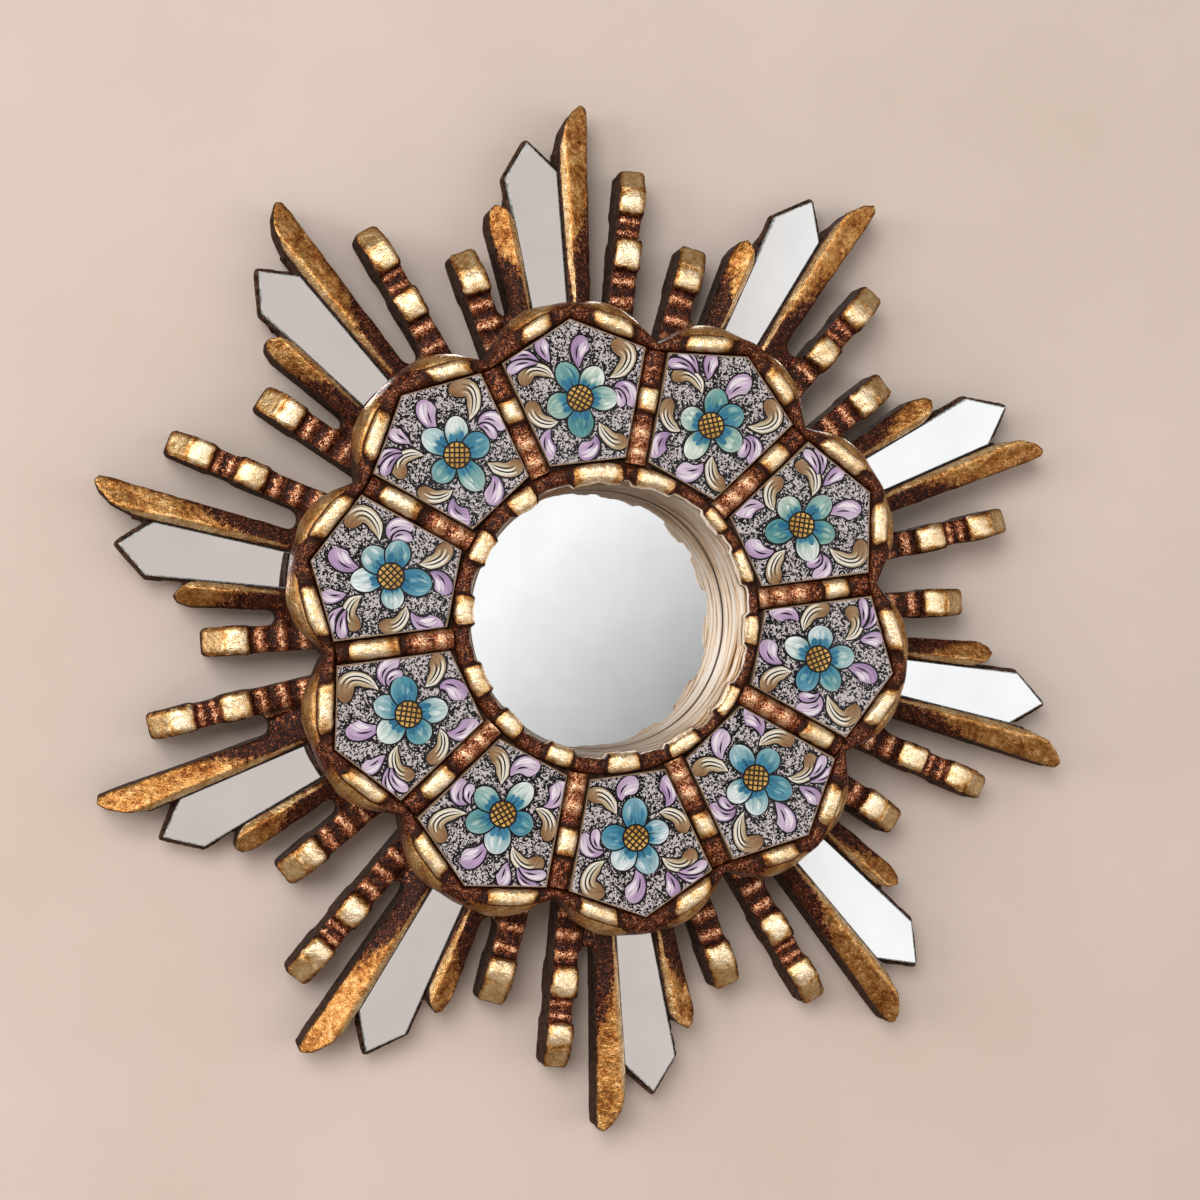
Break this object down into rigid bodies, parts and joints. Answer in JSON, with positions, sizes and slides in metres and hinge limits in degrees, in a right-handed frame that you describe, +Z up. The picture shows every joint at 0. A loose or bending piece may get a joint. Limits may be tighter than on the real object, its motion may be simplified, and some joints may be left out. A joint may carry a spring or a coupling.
{
  "type": "sunburst wall mirror",
  "caption": "Round wall mirror in a deep well, framed by floral reverse painted glass tiles and a carved, gilded wooden sunburst with mirror rays; hangs by a hinged ring.",
  "frame": {"origin": "middle of the back panel's rear face, on the wall plane", "axes": "+X to the right and +Z up as the mirror hangs, +Y out of the back into the wall; the front looks along -Y"},
  "size_m": [0.3285, 0.0424, 0.3432],
  "materials": {
    "carved_wood": "carved wood, dark red-brown lacquer with bronze gilding on the raised faces",
    "gilt_wood": "wood with antiqued bronze gilding",
    "silvered_glass": "silvered mirror glass, 3 mm",
    "painted_glass": "clear glass painted on its back with flowers on a speckled ground",
    "hardboard": "hardboard, matt",
    "packing_card": "grey-brown card",
    "plated_steel": "brass-plated steel"
  },
  "bodies": {
    "mirror_frame": {"ray_segment_01": "carved_wood", "ray_segment_02": "carved_wood", "ray_segment_03": "carved_wood", "ray_segment_04": "carved_wood", "ray_segment_05": "carved_wood", "ray_segment_06": "carved_wood", "ray_segment_07": "carved_wood", "ray_segment_08": "carved_wood", "ray_segment_09": "carved_wood", "ray_segment_10": "carved_wood", "ray_mirror_01": "silvered_glass", "ray_mirror_02": "silvered_glass", "ray_mirror_03": "silvered_glass", "ray_mirror_04": "silvered_glass", "ray_mirror_05": "silvered_glass", "ray_mirror_06": "silvered_glass", "ray_mirror_07": "silvered_glass", "ray_mirror_08": "silvered_glass", "ray_mirror_09": "silvered_glass", "ray_mirror_10": "silvered_glass", "painted_tile_01": "painted_glass", "painted_tile_02": "painted_glass", "painted_tile_03": "painted_glass", "painted_tile_04": "painted_glass", "painted_tile_05": "painted_glass", "painted_tile_06": "painted_glass", "painted_tile_07": "painted_glass", "painted_tile_08": "painted_glass", "painted_tile_09": "painted_glass", "painted_tile_10": "painted_glass", "divider_bar_01": "gilt_wood", "divider_bar_02": "gilt_wood", "divider_bar_03": "gilt_wood", "divider_bar_04": "gilt_wood", "divider_bar_05": "gilt_wood", "divider_bar_06": "gilt_wood", "divider_bar_07": "gilt_wood", "divider_bar_08": "gilt_wood", "divider_bar_09": "gilt_wood", "divider_bar_10": "gilt_wood", "flower_frame": "carved_wood", "rim_bead": "gilt_wood", "well_liner": "gilt_wood", "centre_mirror": "silvered_glass", "packing_disc": "packing_card", "back_panel": "hardboard", "panel_tack_01": "plated_steel", "panel_tack_02": "plated_steel", "panel_tack_03": "plated_steel", "panel_tack_04": "plated_steel", "panel_tack_05": "plated_steel", "hanger_strap": "plated_steel", "hanger_screw": "plated_steel"},
    "ring": {"hanger_ring": "plated_steel"}
  },
  "joints": [
    {"name": "ring_swing", "type": "hinge", "parent": "mirror_frame", "child": "ring", "pos_m": [0, -0.0027, 0.08], "axis": [1, 0, 0], "range_deg": [0, 180]}
  ]
}
